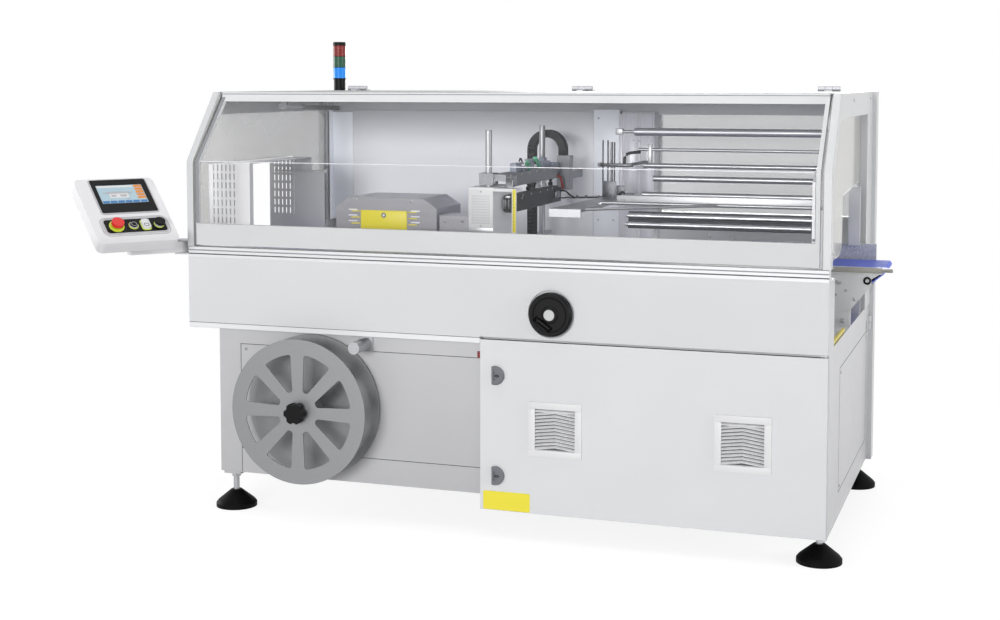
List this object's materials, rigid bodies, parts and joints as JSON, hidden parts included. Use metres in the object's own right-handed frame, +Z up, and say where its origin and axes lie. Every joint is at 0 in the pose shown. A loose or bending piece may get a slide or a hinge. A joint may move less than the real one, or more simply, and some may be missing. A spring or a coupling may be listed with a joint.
{
  "type": "continuous sealing machine",
  "caption": "Floor-standing film sealing machine with clear hood, belts, sealing jaws, film rollers, scrap winder, vented door and swivelling control panel.",
  "frame": {"origin": "bottom centre of the bounding box, on the floor", "axes": "+X along the machine towards the infeed end, +Y towards the back, +Z up"},
  "size_m": [2.8135, 1.63, 1.7405],
  "materials": {
    "white_paint": "semi gloss",
    "clear_plastic": "clear",
    "aluminium": "brushed",
    "satin_steel": "satin",
    "bright_steel": "polished",
    "black_plastic": "matt",
    "grey_plastic": "satin",
    "panel_grey": "satin",
    "screen": "glossy",
    "red_plastic": "glossy",
    "lamp_lens": "glossy",
    "blue_belt": "matt",
    "grey_rubber": "matt"
  },
  "bodies": {
    "machine": {"cabinet_shell": "white_paint", "front_panel": "white_paint", "front_rail": "aluminium", "side_frames": "white_paint", "side_sheets": "clear_plastic", "exit_tunnel": "white_paint", "rear_cover": "white_paint", "rear_window": "clear_plastic", "back_wall": "white_paint", "winder_bearing": "satin_steel", "foot_bases": "black_plastic", "foot_spindles": "satin_steel", "tower_body": "black_plastic", "tower_lenses": "lamp_lens", "belts": "blue_belt", "belt_rollers": "satin_steel", "conveyor_frames": "satin_steel", "head_housing": "white_paint", "head_columns": "bright_steel", "lower_jaw": "black_plastic", "cable_chain": "black_plastic", "chain_mounts": "grey_plastic", "stainless_housing": "satin_steel", "roller_wall": "aluminium", "film_rods": "satin_steel", "hinge_hardware": "satin_steel"},
    "lid": {"lid_frame": "white_paint", "lid_pane": "clear_plastic", "lid_hardware": "satin_steel"},
    "spring_cylinder": {"spring_cylinders": "black_plastic"},
    "spring_rod": {"spring_rods": "bright_steel"},
    "door": {"cabinet_door": "white_paint", "vent_grilles": "white_paint", "door_locks": "black_plastic"},
    "handwheel": {"handwheel": "black_plastic"},
    "folding_handle": {"folding_handle": "grey_plastic"},
    "winder": {"winder_reel": "satin_steel", "winder_knob": "black_plastic"},
    "control_arm": {"panel_arm": "grey_plastic", "panel_housing": "panel_grey", "panel_plates": "grey_plastic", "screen_glass": "screen", "stop_button": "red_plastic", "panel_buttons": "black_plastic"},
    "upper_jaw": {"upper_jaw": "satin_steel"},
    "top_roller": {"top_roller": "bright_steel"},
    "drive_roller": {"drive_roller": "bright_steel"},
    "press_roller": {"press_roller": "grey_rubber"}
  },
  "joints": [
    {"name": "lid_hinge", "type": "hinge", "parent": "machine", "child": "lid", "pos_m": [0.09775, 0.742, 1.541], "axis": [-1, 0, 0], "range_deg": [0, 60]},
    {"name": "spring_swing", "type": "hinge", "parent": "machine", "child": "spring_cylinder", "pos_m": [-0.99725, 0.724, 1.455], "axis": [-1, 0, 0], "range_deg": [0, 60]},
    {"name": "spring_stroke", "type": "slide", "parent": "spring_cylinder", "child": "spring_rod", "axis": [0, -0.9996, 0.0278], "range_m": [0, 0.09]},
    {"name": "door_hinge", "type": "hinge", "parent": "machine", "child": "door", "pos_m": [1.25475, -0.459, 0.096], "axis": [0, 0, 1], "range_deg": [0, 110]},
    {"name": "handwheel_turn", "type": "hinge", "parent": "machine", "child": "handwheel", "pos_m": [0.33875, -0.466, 0.786], "axis": [0, 1, 0], "continuous": true},
    {"name": "handle_fold", "type": "hinge", "parent": "handwheel", "child": "folding_handle", "pos_m": [0.29697, -0.481, 0.76643], "axis": [-0.5736, 0, -0.8192], "range_deg": [0, 90]},
    {"name": "winder_turn", "type": "hinge", "parent": "machine", "child": "winder", "pos_m": [-0.56725, -0.466, 0.407], "axis": [0, 1, 0], "continuous": true},
    {"name": "panel_swivel", "type": "hinge", "parent": "machine", "child": "control_arm", "pos_m": [-1.08125, -0.442, 0.966], "axis": [0, 0, 1], "range_deg": [-50, 30]},
    {"name": "jaw_slide", "type": "slide", "parent": "machine", "child": "upper_jaw", "axis": [0, 0, 1], "range_m": [0, 0.13]},
    {"name": "top_roller_turn", "type": "hinge", "parent": "machine", "child": "top_roller", "pos_m": [0.50775, 1, 1.4], "axis": [1, 0, 0], "continuous": true},
    {"name": "drive_roller_turn", "type": "hinge", "parent": "machine", "child": "drive_roller", "pos_m": [0.50775, 1.079, 1.535], "axis": [1, 0, 0], "continuous": true},
    {"name": "press_roller_turn", "type": "hinge", "parent": "machine", "child": "press_roller", "pos_m": [0.50775, 1.089, 1.545], "axis": [1, 0, 0], "continuous": true}
  ],
  "couplings": [
    {"joint": "spring_swing", "follows": "lid_hinge", "ratio": 0.9545},
    {"joint": "spring_stroke", "follows": "lid_hinge", "m_per_rad": 0.07963}
  ]
}
